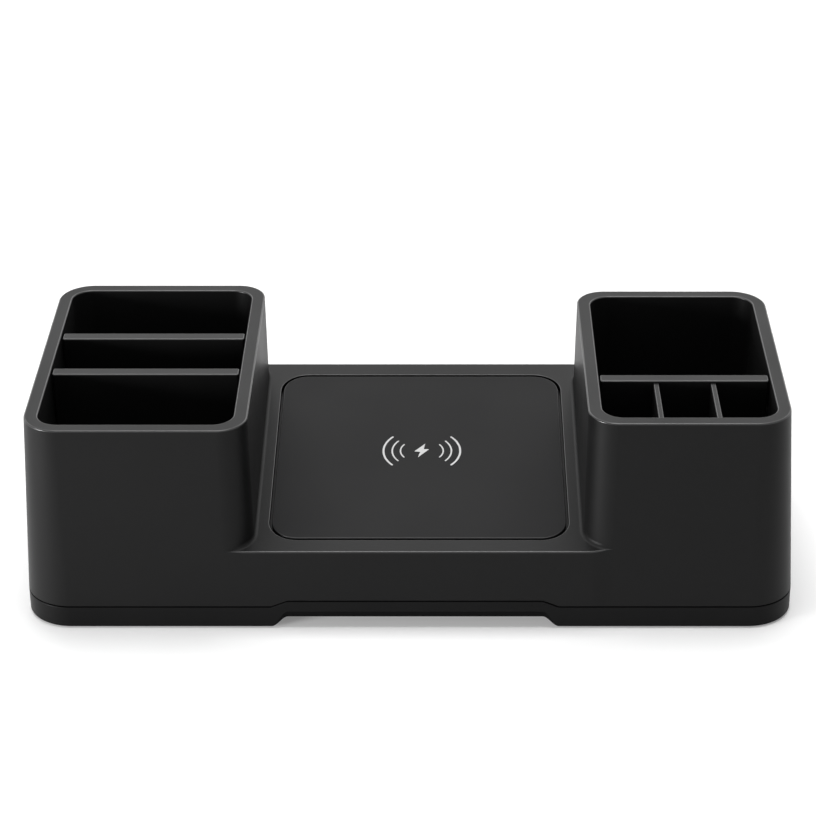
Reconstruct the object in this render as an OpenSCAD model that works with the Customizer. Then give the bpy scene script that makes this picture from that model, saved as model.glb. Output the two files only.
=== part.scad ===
// Desk organizer with two storage towers and an inclined wireless charging deck between them.
// X runs to the right, Y to the back, Z up; the origin is on the desk under the middle.

/* [Overall] */
// Width over the tower rims
rim_w = 254.8; // [230:0.2:300]
// Depth of the body at the parting line
body_d = 110.6; // [104:0.2:130]
// How much deeper the body is over the rim of the left tower
left_flare = 1.2; // [-4:0.2:4]
// How much less deep it is over the rim of the right tower
right_taper = 8.8; // [0:0.2:12]
// Height of the tower rims above the desk
rim_h = 76.8; // [68:0.1:100]
// Outward lean of the two ends, in degrees
end_draft = 3.3; // [0.5:0.1:5]
// Plan radius of the four outer corners at the rims
corner_r = 12; // [8:0.5:16]
// Plan radius of the four outer corners at the parting line and below
low_corner_r = 16; // [10:0.5:18]
// Rounding of the rim and deck edges
edge_r = 0.8; // [0.4:0.1:1.2]

/* [Towers] */
// Width of the left tower at its rim
left_tower_w = 74.2; // [64:0.1:84]
// Width of the right tower at its rim
right_tower_w = 67.7; // [58:0.1:78]
// Lean of the tower walls that face the deck, in degrees
inner_draft = 0.8; // [0:0.1:2]
// Plan radius of the tower corners beside the deck
tower_r = 10; // [6:0.5:12]
// Wall thickness at the rims
rim_wall = 4.7; // [3:0.1:5.5]
// Plan radius of the bin corners
bin_r = 7; // [5:0.5:10]
// Draft of the bin walls, in degrees
bin_draft = 1; // [0.5:0.1:2]
// Height of the bin floors above the desk
bin_floor_h = 15; // [14:0.5:18]
// Thickness of the bin floors
bin_floor_t = 3; // [2:0.1:4]
// Depth of the front left tray below the rim
tray_depth = 26; // [18:1:40]
// Thickness of the tray floor and of the wall behind it
tray_wall = 2.6; // [2:0.1:4]

/* [Dividers] */
// Thickness of the removable dividers
divider_t = 4.6; // [3:0.1:6]
// Thickness of the two short partitions
partition_t = 1.9; // [1.4:0.1:3]
// Drop of the divider tops below the rim
divider_drop = 0.6; // [0.3:0.1:3]
// Drop of the short partitions below the wall that carries them
partition_drop = 0.8; // [0.2:0.1:3]
// Gap between a divider's ends and the bin walls
divider_end_gap = 0.45; // [0.3:0.05:0.8]
// Gap between a divider and its guide ribs or floor
slide_gap = 0.3; // [0.2:0.05:0.5]
// Front to back size of the front left tray
tray_d = 37; // [26:0.1:42]
// Front to back size of the slot behind the tray
slot_d = 22.5; // [14:0.5:28]
// Front to back size of the three small pockets
pocket_d = 27.1; // [20:0.1:40]
// Width of a guide rib
rib_w = 1.8; // [1.2:0.1:3]
// Height of a guide rib over the bin wall at the floor
rib_h = 1.4; // [1:0.1:2]
// Drop of the guide rib tops below the rim
rib_drop = 14; // [8:1:30]

/* [Deck] */
// Height of the deck surface at the front face
deck_front_h = 30.4; // [26:0.2:36]
// Height of the deck surface at the back face
deck_back_h = 44.7; // [38:0.1:54]
// Thickness of the deck
deck_t = 4.4; // [4:0.1:6]
// Radius of the fillet where the towers meet the deck
foot_r = 1.4; // [0.8:0.1:3]
// Thickness of the housing walls under the deck
skin_t = 2.8; // [2:0.1:3.5]

/* [Charging pad] */
// Deck margin on each side of the pad cover
pad_side = 6.2; // [4.5:0.1:12]
// Length of the pad cover along the slope
pad_d = 96.5; // [84:0.1:100]
// Distance of the pad cover's middle behind the middle of the deck
pad_shift = -0.3; // [-2:0.1:2]
// Corner radius of the pad cover
pad_r = 9; // [6:0.5:14]
// Thickness of the pad cover
pad_t = 2; // [1.5:0.1:2.5]
// Groove round the pad cover
pad_gap = 0.65; // [0.3:0.05:0.8]
// Thickness of the adhesive frame under the pad cover
adhesive_t = 0.25; // [0.15:0.05:0.5]
// Width of the adhesive frame
adhesive_w = 6; // [4:0.5:10]
// Size of the square window under the pad cover
window_w = 68; // [64:1:74]
// Corner radius of the window
window_r = 6; // [3:0.5:8]

/* [Coil] */
// Number of turns in the charging coil
coil_turns = 10; // [6:1:12]
// Outer diameter of the charging coil
coil_d = 46; // [42:0.5:50]
// Thickness of the coil wire
coil_wire = 1.1; // [0.8:0.05:1.2]
// Gap between neighbouring turns
coil_gap = 0.15; // [0.1:0.05:0.3]
// Thickness of the ferrite disc
ferrite_t = 1.6; // [1:0.1:2.5]
// Gap between the coil and the underside of the pad cover
coil_air = 0.4; // [0.3:0.1:1]
// Margin of the ferrite disc round the coil
ferrite_margin = 2; // [1.5:0.5:3]
// Wall and floor thickness of the coil carrier
carrier_t = 1.6; // [1.2:0.1:2.2]
// Length of the bosses that hold the coil carrier
carrier_boss_l = 4.6; // [4:0.2:6]
// Distance of the carrier bosses from the coil centre
carrier_boss_c = 39; // [38:0.5:42]
// Distance of the carrier bosses in front of and behind the coil centre
carrier_boss_y = 20; // [16:0.5:24]

/* [Base cover] */
// Height of the parting line at the two ends
parting_end_h = 8.4; // [7.5:0.1:9]
// Height of the parting line in the middle
parting_mid_h = 10.7; // [10:0.1:11]
// Width of the open parting line
parting_gap = 0.4; // [0.2:0.05:0.8]
// Height of the lower edge above the desk at the two ends
base_lift = 0.5; // [0.4:0.1:1]
// Height of the lower edge above the desk in the middle
relief_h = 3.8; // [3:0.1:4]
// Distance of the relief's ends from the tower walls
relief_side = 7.5; // [5:0.5:16]
// Length of each ramp
ramp_run = 5.6; // [4:0.1:10]
// Offset of the relief from the middle of the deck
relief_shift = -1.3; // [-4:0.1:4]
// Rounding of the lower edge at the two ends
base_edge_r = 0.6; // [0.4:0.1:1.5]
// Depth of the sloping cut under the front and back edges in the middle
cut_d = 1.4; // [0.6:0.1:1.6]
// Height of that cut
cut_h = 2.8; // [1.5:0.1:3]
// Thickness of the base cover's floor
base_floor_t = 2.6; // [2.2:0.1:3]
// Thickness of the base cover's rim wall
base_wall = 2.6; // [2:0.1:3]
// Height of the locating lip above the parting line
lip_h = 1.6; // [1:0.1:2.4]
// Thickness of the locating lip
lip_t = 1.4; // [1:0.1:2]

/* [Feet] */
// Diameter of the rubber feet
foot_d = 14; // [10:0.5:18]
// Thickness of the rubber feet
foot_t = 1.8; // [1.4:0.1:2.2]
// Distance of the feet from the ends of the body
foot_in_x = 18; // [16:0.5:24]
// Distance of the feet from the front and back of the body
foot_in_y = 17; // [15:0.5:22]

/* [Fasteners] */
// Thread diameter of the base screws
base_screw_d = 3; // [2.5:0.1:3.5]
// Length of the base screws under the head
base_screw_l = 9; // [7:0.5:10]
// Diameter of the screw bosses for the base screws
base_boss_d = 7.4; // [6.5:0.1:9]
// Thread diameter of the small screws inside
small_screw_d = 2.2; // [1.8:0.1:2.6]
// Diameter of the bosses and posts for the small screws
small_boss_d = 5.4; // [4.8:0.1:6.5]
// Distance of the corner base screws from the feet
screw_to_foot = 22; // [16:1:30]

/* [Electronics] */
// Width of the charging board
board_w = 56; // [48:1:64]
// Depth of the charging board
board_d = 38; // [34:1:44]
// Thickness of the charging board
board_t = 1.6; // [1.2:0.1:2]
// Height of the posts under the charging board
board_post_h = 5; // [5:0.1:6]
// Distance of the board's screws from its edges
board_screw_in = 3.5; // [3:0.1:5]
// Width of the power inlet's shell
inlet_w = 8.94; // [8.6:0.02:9.4]
// Height of the power inlet's shell
inlet_h = 3.26; // [3:0.02:3.6]
// Length of the power inlet's shell
inlet_l = 8.5; // [7:0.1:10]
// Wall thickness of the power inlet's shell
inlet_wall = 0.3; // [0.25:0.05:0.4]
// Gap round the power inlet in the back wall
inlet_gap = 0.4; // [0.3:0.05:0.6]

/* [Hidden] */
$fn = 64;
hull_fn = 32;
eps = 0.01;
big = 400;

body_color = "#1d1d1f";
pad_color = "#242426";
board_color = "#14502c";
metal_color = "#b9bcc0";

// Half sizes of the outer body at height z: upright below the parting line, leaning above it.
// The bay between the towers has the left tower's front and back faces.
left_rim_d = body_d + left_flare;
right_rim_d = body_d - right_taper;
function below_rim(z) = rim_h - max(z, parting_end_h);
function low_share(z) = below_rim(z) / (rim_h - parting_end_h);
function end_x(z) = rim_w / 2 + below_rim(z) * tan(end_draft);
function half_d(side, z) =
  low_share(z) * body_d / 2 + (1 - low_share(z)) * (side < 0 ? left_rim_d : right_rim_d) / 2;
function face_y(z) = half_d(-1, z);
function corner(z) = corner_r + low_share(z) * (low_corner_r - corner_r);

// Tower walls that face the deck, at height z
left_inner_x = -rim_w / 2 + left_tower_w;
right_inner_x = rim_w / 2 - right_tower_w;
function left_wall_x(z) = left_inner_x + (rim_h - z) * tan(inner_draft);
function right_wall_x(z) = right_inner_x - (rim_h - z) * tan(inner_draft);
bay_x = (left_inner_x + right_inner_x) / 2;
bay_w = right_inner_x - left_inner_x;
pad_w = bay_w - 2 * pad_side;

// The deck plane, and the frame that lies on it at the pad's centre
deck_mid_h = (deck_front_h + deck_back_h) / 2;
deck_tilt = atan((deck_back_h - deck_front_h) / (face_y(deck_front_h) + face_y(deck_back_h)));
function deck_z(y) = deck_mid_h + y * tan(deck_tilt);
recess_depth = pad_t + adhesive_t;

// Bins
left_bin = [-rim_w / 2 + rim_wall, left_inner_x - rim_wall];
right_bin = [right_inner_x + rim_wall, rim_w / 2 - rim_wall];
left_bin_y = left_rim_d / 2 - rim_wall;
right_bin_y = right_rim_d / 2 - rim_wall;
function bin_inset(z) = (rim_h - z) * tan(bin_draft);
tray_floor_h = rim_h - tray_depth;
tray_back_y = -left_bin_y + tray_d;
front_divider_y = tray_back_y + divider_t / 2;
rear_divider_y = front_divider_y + divider_t + slot_d;
cross_wall_y = -right_bin_y + pocket_d + divider_t / 2;
divider_top = rim_h - divider_drop;
divider_foot = bin_floor_h + slide_gap;
bin_under_h = bin_floor_h - bin_floor_t;

// Coil stack, heights measured from the deck surface
coil_top = -pad_t - coil_air;
coil_floor = coil_top - coil_wire;
ferrite_floor = coil_floor - ferrite_t;
carrier_flange_top = -deck_t - carrier_boss_l;
ferrite_d = coil_d + 2 * ferrite_margin;
carrier_gap = 0.3;
carrier_in_d = ferrite_d + 2 * carrier_gap;
carrier_out_d = carrier_in_d + 2 * carrier_t;
coil_pitch = coil_wire + coil_gap;
coil_in_r = coil_d / 2 - coil_wire / 2 - coil_turns * coil_pitch;
lead_hole_d = 6;
lead_notch_w = 5 * coil_wire;
lead_notch_x = 8;

// Base cover levels
end_floor_h = base_lift + base_floor_t;
mid_floor_h = relief_h + base_floor_t;
relief_left = left_inner_x + relief_side + relief_shift;
relief_right = right_inner_x - relief_side + relief_shift;
cavity_w = 2 * (end_x(parting_end_h) - base_wall);
cavity_d = 2 * (face_y(parting_end_h) - base_wall);
cavity_r = low_corner_r - base_wall;
lip_gap = 0.2;

// Feet and base screws
foot_x = end_x(base_lift) - foot_in_x;
foot_y = face_y(base_lift) - foot_in_y;
foot_recess = foot_t - base_lift;
screw_head_d = 1.8 * base_screw_d;
screw_head_t = 0.6 * base_screw_d;
screw_head_sink = 0.3;
screw_clear = 0.2;
thread_gap = 0.05;
tip_room = 0.3;
foot_gap = 0.2;
screw_head_z = base_lift + screw_head_sink;
screw_seat_h = 1.4;
base_boss_z = end_floor_h + screw_seat_h;
corner_screw_x = foot_x - screw_to_foot;
bay_screw_left = relief_left - base_boss_d / 2 - 3;
bay_screw_right = relief_right + base_boss_d / 2 + 3;
base_screw_places = [
  [-corner_screw_x, -foot_y], [-corner_screw_x, foot_y],
  [corner_screw_x, -foot_y], [corner_screw_x, foot_y],
  [bay_screw_left, 0], [bay_screw_right, 0]
];
small_head_d = 1.8 * small_screw_d;
small_head_t = 0.55 * small_screw_d;
small_screw_grip = 4.6;
small_hole_d = small_screw_d + 2 * screw_clear;
small_pilot_d = small_screw_d + 2 * thread_gap;

// Charging board and the parts on it
board_z = mid_floor_h + board_post_h;
board_top = board_z + board_t;
inlet_z = board_top + inlet_h / 2;
back_face_y = face_y(inlet_z);
inlet_set_back = 0.3;
inlet_back_t = 1;
inlet_back_y = back_face_y - inlet_set_back;
board_gap = 0.5;
board_back_y = cavity_d / 2 - lip_gap - lip_t - board_gap;
board_y = board_back_y - board_d / 2;
board_screw_places = [
  for (sx = [-1, 1], sy = [-1, 1])
    [bay_x + sx * (board_w / 2 - board_screw_in), board_y + sy * (board_d / 2 - board_screw_in)]
];
solder_y = board_y - board_d / 2 + 4;
solder_x = 5;
chip_w = 7;
chip_h = 0.9;
transistor_w = 5;
transistor_d = 6;
transistor_h = 1;
capacitor_w = 2.5;
capacitor_d = 3.2;
capacitor_h = 2;
inductor_w = 10;
inductor_h = 4.2;
inductor_base_h = 1;
can_d = 6.3;
can_h = 5.4;
can_base_h = 0.8;

carrier_boss_places = [
  for (sx = [-1, 1], sy = [-1, 1]) [sx * carrier_boss_c, sy * carrier_boss_y]
];

// General shapes

module rounded_rect(w, d, r) {
  square([w - 2 * r, d], center = true);
  square([w, d - 2 * r], center = true);
  for (sx = [-1, 1], sy = [-1, 1])
    translate([sx * (w / 2 - r), sy * (d / 2 - r)]) circle(r);
}

// Four thin corner discs: a level of a hull
module level(x0, x1, half_d, r, z) {
  for (x = [x0 + r, x1 - r], y = [-half_d + r, half_d - r])
    translate([x, y, z]) cylinder(h = eps, r = r, $fn = hull_fn);
}

// A bar along Y whose lower side steps up over the relief
module stepped_bar(end_h, mid_h, top, run = ramp_run) {
  rotate([90, 0, 0])
    linear_extrude(height = big, center = true)
      polygon([
        [-big, top], [-big, end_h], [relief_left, end_h], [relief_left + run, mid_h],
        [relief_right - run, mid_h], [relief_right, end_h], [big, end_h], [big, top]
      ]);
}

// Puts its children at the pad's middle on the deck, with Z along the deck's normal
module on_deck() {
  translate([bay_x, 0, deck_mid_h]) rotate([deck_tilt, 0, 0]) translate([0, pad_shift, 0]) children();
}

// Points round a corner of a plan outline, from its end to its face: sx and sy are -1 or 1
corner_steps = 8;
function corner_points(cx, cy, r, sx, sy) = [
  for (i = [0 : corner_steps]) let (t = 90 * i / corner_steps) [cx + sx * r * cos(t), cy + sy * r * sin(t)]
];
function backwards(v) = [for (i = [len(v) - 1 : -1 : 0]) v[i]];

// A closed ring from its front half, and a body lofted through such rings
function whole_ring(front) = concat(front, [for (p = backwards(front)) [p[0], -p[1], p[2]]]);
module loft(rings) {
  n = len(rings[0]);
  top = (len(rings) - 1) * n;
  sides = [
    for (k = [0 : n : top - n], i = [0 : n - 1])
      let (j = (i + 1) % n) each [[k + i, k + n + i, k + n + j], [k + i, k + n + j, k + j]]
  ];
  floor_faces = [for (i = [0 : n / 2 - 2]) [i, i + 1, n - 2 - i, n - 1 - i]];
  roof_faces = [for (f = floor_faces) backwards([for (i = f) top + i])];
  polyhedron(
    points = [for (r = rings, p = r) p], faces = concat(sides, floor_faces, roof_faces), convexity = 8
  );
}

// Housing

// A level of the outer body; the right tower's faces run into the bay's across its inner corner
function body_ring(z, inset) =
  let (
    a = end_x(z) - inset, left = half_d(-1, z) - inset, right = half_d(1, z) - inset, r = corner(z) - inset,
    front = concat(
      corner_points(-a + r, -left + r, r, -1, -1),
      [[right_inner_x, -left], [right_inner_x + tower_r, -right]],
      backwards(corner_points(a - r, -right + r, r, 1, -1))
    )
  )
  whole_ring([for (p = front) [p[0], p[1], z]]);

module outer_body() {
  loft([
    for (l = [[0, 0], [parting_end_h, 0], [rim_h - edge_r, 0], [rim_h, edge_r]]) body_ring(l[0], l[1])
  ]);
}

// A tower that runs past the outer body on its three outer sides; side is -1 or 1
module tower_column(side) {
  over = 0.05;
  top = rim_h - edge_r;
  inner = function (z) side < 0 ? left_wall_x(z) : right_wall_x(z);
  outer = side * rim_w;
  hull()
    for (l = [[0, 0], [parting_end_h, 0], [top, 0], [rim_h, edge_r]])
      level(
        min(inner(l[0]) + side * l[1], outer), max(inner(l[0]) + side * l[1], outer),
        half_d(side, l[0]) - l[1] + over, tower_r - l[1], l[0]
      );
}

// Concave fillet round a tower's foot, swept along the tower's plan on the deck
fillet_steps = 5;
corner_turn = 360 / hull_fn;
function tower_path(side) =
  let (
    z = function (sy) deck_z(sy * body_d / 2),
    c = function (sy) [
      (side < 0 ? left_wall_x(z(sy)) : right_wall_x(z(sy))) + side * tower_r,
      sy * (half_d(side, z(sy)) - tower_r)
    ]
  )
  [
    for (a = [0 : corner_turn : 90])
      [c(-1)[0] - side * tower_r * sin(a), c(-1)[1] - tower_r * cos(a), -side * sin(a), -cos(a)],
    for (a = [0 : corner_turn : 90])
      [c(1)[0] - side * tower_r * cos(a), c(1)[1] + tower_r * sin(a), -side * cos(a), sin(a)]
  ];

// Its section: distance from the wall and height over the deck, sunk a little into both
fillet_sink = 0.04;
function fillet_section() =
  [
    [-1, -2], [-1, foot_r - fillet_sink],
    for (i = [0 : fillet_steps])
      let (a = 90 * i / fillet_steps)
        [foot_r * (1 - cos(a)) - fillet_sink, foot_r * (1 - sin(a)) - fillet_sink],
    [foot_r + 0.6, -2]
  ];

module foot_fillet(side) {
  path = tower_path(side);
  sect = fillet_section();
  n = len(sect);
  m = len(path);
  pts = [
    for (p = path, s = sect)
      let (x = p[0] + p[2] * s[0], y = p[1] + p[3] * s[0]) [x, y, deck_z(y) + s[1]]
  ];
  ring = function (k) [for (i = [0 : n - 1]) k * n + i];
  sides = [
    for (k = [0 : m - 2], i = [0 : n - 1])
      let (j = (i + 1) % n) [k * n + i, k * n + j, (k + 1) * n + j, (k + 1) * n + i]
  ];
  faces = concat(sides, [backwards(ring(0)), ring(m - 1)]);
  polyhedron(points = pts, faces = side < 0 ? [for (f = faces) backwards(f)] : faces, convexity = 6);
}

module bin_space(bin, half, floor_h) {
  hull() {
    i0 = bin_inset(floor_h);
    level(bin[0] + i0 + 1, bin[1] - i0 - 1, half - i0 - 1, bin_r - 1, floor_h);
    i1 = bin_inset(floor_h + 1);
    level(bin[0] + i1, bin[1] - i1, half - i1, bin_r, floor_h + 1);
    level(bin[0], bin[1], half, bin_r, rim_h + eps);
  }
}

// Small chamfer round the mouth of a bin
module bin_mouth(bin, half) {
  hull() {
    level(bin[0], bin[1], half, bin_r, rim_h - edge_r);
    level(bin[0] - edge_r, bin[1] + edge_r, half + edge_r, bin_r + edge_r, rim_h + eps);
  }
}

// Guide ribs on both side walls of a bin, one each side of a divider at y
module guide_ribs(bin, y, sides = [-1, 1]) {
  reach = rib_h + bin_inset(bin_floor_h);
  for (x = [bin[0] - 1, bin[1] - reach], s = sides)
    translate([x, y + s * (divider_t / 2 + slide_gap + rib_w / 2) - rib_w / 2, bin_floor_h - eps])
      cube([reach + 1, rib_w, rim_h - rib_drop - bin_floor_h]);
}

// The raised tray in the front of the left tower
module tray_block() {
  top = tray_floor_h;
  translate([left_bin[0] - 1, -left_bin_y - 1, bin_floor_h - eps])
    cube([left_bin[1] - left_bin[0] + 2, tray_d + 1 - slide_gap, top - bin_floor_h]);
}

module tray_core() {
  side = rim_wall;
  w = left_bin[1] - left_bin[0] - 2 * side;
  d = tray_d - tray_wall - slide_gap - side;
  translate([(left_bin[0] + left_bin[1]) / 2, tray_back_y - slide_gap - tray_wall - d / 2, 0])
    linear_extrude(height = tray_floor_h - tray_wall) rounded_rect(w, d, 3);
}

// Space under the bins and the deck
bay_wall = 0.5;
bay_corner_r = 4;
module under_space() {
  intersection() {
    linear_extrude(height = bin_under_h) rounded_rect(cavity_w, cavity_d, cavity_r);
    stepped_bar(0, 0, big);
  }
  intersection() {
    translate([bay_x, 0, 0])
      linear_extrude(height = deck_back_h)
        rounded_rect(
          right_wall_x(deck_mid_h) - left_wall_x(deck_mid_h) - 2 * bay_wall,
          2 * (face_y(deck_back_h) - skin_t), bay_corner_r
        );
    on_deck() translate([-big / 2, -big / 2, -deck_t - big]) cube(big);
  }
}

module base_bosses() {
  for (p = base_screw_places)
    translate([p[0], p[1], base_boss_z])
      cylinder(h = bin_under_h - base_boss_z + 0.5, d = base_boss_d);
}

module base_pilots() {
  screw_tip = screw_head_z + screw_head_t + base_screw_l;
  for (p = base_screw_places)
    translate([p[0], p[1], base_boss_z - 1])
      cylinder(h = screw_tip + tip_room - base_boss_z + 1, d = base_screw_d + 2 * thread_gap);
}

module carrier_bosses() {
  on_deck()
    for (p = carrier_boss_places)
      translate([p[0], p[1], carrier_flange_top])
        cylinder(h = carrier_boss_l + 0.5, d = small_boss_d);
}

module carrier_pilots() {
  on_deck()
    for (p = carrier_boss_places)
      translate([p[0], p[1], carrier_flange_top - 1])
        cylinder(h = small_screw_grip + tip_room + 1, d = small_pilot_d);
}

module inlet_outline(extra) {
  r = inlet_h / 2 + extra;
  square([inlet_w - inlet_h, 2 * r], center = true);
  for (s = [-1, 1])
    translate([s * (inlet_w - inlet_h) / 2, 0]) circle(r);
}

module inlet_opening() {
  translate([bay_x, back_face_y + 1, inlet_z])
    rotate([90, 0, 0]) linear_extrude(height = skin_t + 4) inlet_outline(inlet_gap);
}

// Housing
module housing() {
  color(body_color)
    difference() {
      union() {
        difference() {
          intersection() {
            outer_body();
            union() {
              on_deck() translate([-big / 2, -big / 2, -big]) cube(big);
              for (s = [-1, 1]) tower_column(s);
              for (s = [-1, 1]) foot_fillet(s);
            }
            stepped_bar(parting_end_h + parting_gap / 2, parting_mid_h + parting_gap / 2, big);
          }
          bin_space(left_bin, left_bin_y, bin_floor_h);
          bin_space(right_bin, right_bin_y, bin_floor_h);
          bin_mouth(left_bin, left_bin_y);
          bin_mouth(right_bin, right_bin_y);
          under_space();
          on_deck() {
            translate([0, 0, -recess_depth])
              linear_extrude(height = recess_depth + 1)
                rounded_rect(pad_w + 2 * pad_gap, pad_d + 2 * pad_gap, pad_r + pad_gap);
            translate([0, 0, -deck_t - 1])
              linear_extrude(height = deck_t) rounded_rect(window_w, window_w, window_r);
          }
          inlet_opening();
        }
        guide_ribs(left_bin, rear_divider_y);
        guide_ribs(left_bin, front_divider_y, [1]);
        guide_ribs(right_bin, cross_wall_y);
        tray_block();
        base_bosses();
        carrier_bosses();
      }
      tray_core();
      base_pilots();
      carrier_pilots();
    }
}

// Base cover

ramp_steps = 6;
edge_steps = 5;

// Share of the relief at x: 0 at the ends and 1 in the middle, straight or S-shaped on the ramps
function straight_part(x) = max(0, min(1, min(x - relief_left, relief_right - x) / ramp_run));
function ramp_part(x) = (1 - cos(180 * straight_part(x))) / 2;
function lower_z(x) = base_lift + (relief_h - base_lift) * ramp_part(x);
function parting_z(x) =
  parting_end_h - parting_gap / 2 + (parting_mid_h - parting_end_h) * straight_part(x);

ramp_xs = [
  for (i = [0 : ramp_steps]) relief_left + ramp_run * i / ramp_steps,
  for (i = [0 : ramp_steps]) relief_right - ramp_run + ramp_run * i / ramp_steps
];

// Front half of the plan outline from left to right, a given inset inside the outer faces
function front_half(inset) =
  let (a = end_x(0) - inset, b = face_y(0) - inset, r = low_corner_r - inset)
  concat(
    corner_points(-a + r, -b + r, r, -1, -1), [for (x = ramp_xs) [x, -b]],
    backwards(corner_points(a - r, -b + r, r, 1, -1))
  );

// A ring of the lower edge, step 0 on the lower face: rounded at the ends, cut sloping in the middle
function edge_ring(step) =
  let (
    a = 90 * step / edge_steps,
    inset = base_edge_r * (1 - sin(a)), rise = base_edge_r * (1 - cos(a)),
    cut_inset = cut_d * (1 - step / edge_steps), cut_rise = cut_h * step / edge_steps
  )
  whole_ring([
    for (p = front_half(inset))
      let (m = ramp_part(p[0]))
        [p[0], p[1] + m * (cut_inset - inset), lower_z(p[0]) + (1 - m) * rise + m * cut_rise]
  ]);

module base_skin() {
  loft([
    for (i = [0 : edge_steps]) edge_ring(i),
    whole_ring([for (p = front_half(0)) [p[0], p[1], parting_z(p[0])]])
  ]);
}

module base_cavity() {
  intersection() {
    linear_extrude(height = big) rounded_rect(cavity_w, cavity_d, cavity_r);
    stepped_bar(end_floor_h, mid_floor_h, big);
  }
}

module locating_lip() {
  w = cavity_w - 2 * lip_gap;
  d = cavity_d - 2 * lip_gap;
  difference() {
    linear_extrude(height = parting_mid_h + lip_h) rounded_rect(w, d, cavity_r - lip_gap);
    translate([0, 0, -1])
      linear_extrude(height = parting_mid_h + lip_h + 2)
        rounded_rect(w - 2 * lip_t, d - 2 * lip_t, cavity_r - lip_gap - lip_t);
    stepped_bar(parting_end_h + lip_h, parting_mid_h + lip_h, big);
    mirror([0, 0, 1]) stepped_bar(1 - end_floor_h, 1 - mid_floor_h, big);
  }
}

module base_cover() {
  color(body_color)
    difference() {
      union() {
        difference() {
          base_skin();
          base_cavity();
        }
        locating_lip();
        for (p = board_screw_places)
          translate([p[0], p[1], mid_floor_h - 0.5]) cylinder(h = board_post_h + 0.5, d = small_boss_d);
        for (p = base_screw_places)
          translate([p[0], p[1], end_floor_h - 0.5]) cylinder(h = screw_seat_h + 0.5, d = base_boss_d + 2);
      }
      for (p = base_screw_places)
        translate([p[0], p[1], 0]) {
          cylinder(h = base_boss_z + 1, d = base_screw_d + 2 * screw_clear);
          cylinder(h = screw_head_z + screw_head_t, d = screw_head_d + 2 * screw_clear);
        }
      for (sx = [-1, 1], sy = [-1, 1])
        translate([sx * foot_x, sy * foot_y, 0])
          cylinder(h = base_lift + foot_recess, d = foot_d + 2 * foot_gap);
      for (p = board_screw_places)
        translate([p[0], p[1], board_z - small_screw_grip - tip_room])
          cylinder(h = small_screw_grip + tip_room + 1, d = small_pilot_d);
    }
}

// Charging pad

module pad_cover() {
  color(pad_color)
    on_deck()
      translate([0, 0, -pad_t])
        linear_extrude(height = pad_t) rounded_rect(pad_w, pad_d, pad_r);
}

module pad_adhesive() {
  color("#3a3a3c")
    on_deck()
      translate([0, 0, -recess_depth])
        linear_extrude(height = adhesive_t)
          difference() {
            rounded_rect(pad_w - 2, pad_d - 2, pad_r - 1);
            rounded_rect(pad_w - 2 - 2 * adhesive_w, pad_d - 2 - 2 * adhesive_w, pad_r - 1 - adhesive_w / 2);
          }
}

// Coil stack

module coil_carrier() {
  flange_w = 2 * carrier_boss_c + small_boss_d + 2;
  flange_d = 2 * carrier_boss_y + small_boss_d + 2;
  cup_floor = ferrite_floor - carrier_t;
  color("#2c2e31")
    on_deck()
      difference() {
        union() {
          translate([0, 0, carrier_flange_top - carrier_t])
            linear_extrude(height = carrier_t) rounded_rect(flange_w, flange_d, small_boss_d / 2);
          translate([0, 0, carrier_flange_top - carrier_t])
            cylinder(h = coil_top - carrier_flange_top + carrier_t, d = carrier_out_d);
        }
        translate([0, 0, ferrite_floor]) cylinder(h = big, d = carrier_in_d);
        translate([0, 0, carrier_flange_top - carrier_t - 1])
          cylinder(h = cup_floor - carrier_flange_top + carrier_t + 1, d = carrier_in_d);
        translate([0, 0, -big / 2]) cylinder(h = big, d = lead_hole_d);
        translate([lead_notch_x - lead_notch_w / 2, -carrier_out_d, ferrite_floor + ferrite_t / 2])
          cube([lead_notch_w, carrier_out_d, big]);
        for (p = carrier_boss_places)
          translate([p[0], p[1], -big / 2]) cylinder(h = big, d = small_hole_d);
      }
}

module ferrite_disc() {
  color("#4a4a4c")
    on_deck()
      translate([0, 0, ferrite_floor])
        difference() {
          cylinder(h = ferrite_t, d = ferrite_d);
          translate([0, 0, -1]) cylinder(h = ferrite_t + 2, d = lead_hole_d);
        }
}

// A tube of round section swept along points, closed at both ends
function unit(v) = v / norm(v);
function sweep_ring(p, t, r, sides, turn = 0) =
  let (
    side = unit(cross(t, abs(t[2]) > 0.9 ? [0, 1, 0] : [0, 0, 1])),
    up = cross(side, t)
  )
  [for (i = [0 : sides - 1]) let (a = 360 * i / sides + turn) p + r * (cos(a) * side + sin(a) * up)];
function tangent(path, i) =
  unit(path[min(i + 1, len(path) - 1)] - path[max(i - 1, 0)]);

module tube(path, d, sides, turn = 0) {
  m = len(path);
  pts = [for (i = [0 : m - 1]) each sweep_ring(path[i], tangent(path, i), d / 2, sides, turn)];
  walls = [
    for (k = [0 : m - 2], i = [0 : sides - 1])
      let (j = (i + 1) % sides) each [
        [k * sides + i, k * sides + j, (k + 1) * sides + j],
        [k * sides + i, (k + 1) * sides + j, (k + 1) * sides + i]
      ]
  ];
  caps = [
    [for (i = [sides - 1 : -1 : 0]) i],
    [for (i = [0 : sides - 1]) (m - 1) * sides + i]
  ];
  polyhedron(points = pts, faces = concat(walls, caps), convexity = 10);
}

coil_step = 15;
coil_z = coil_floor + coil_wire / 2;
coil_path = [
  for (a = [0 : coil_step : 360 * coil_turns])
    let (r = coil_in_r + coil_pitch * a / 360) [r * sin(a), -r * cos(a), coil_z]
];

module charging_coil() {
  color("#b0703a") on_deck() tube(coil_path, coil_wire, 6, 30);
}

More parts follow.
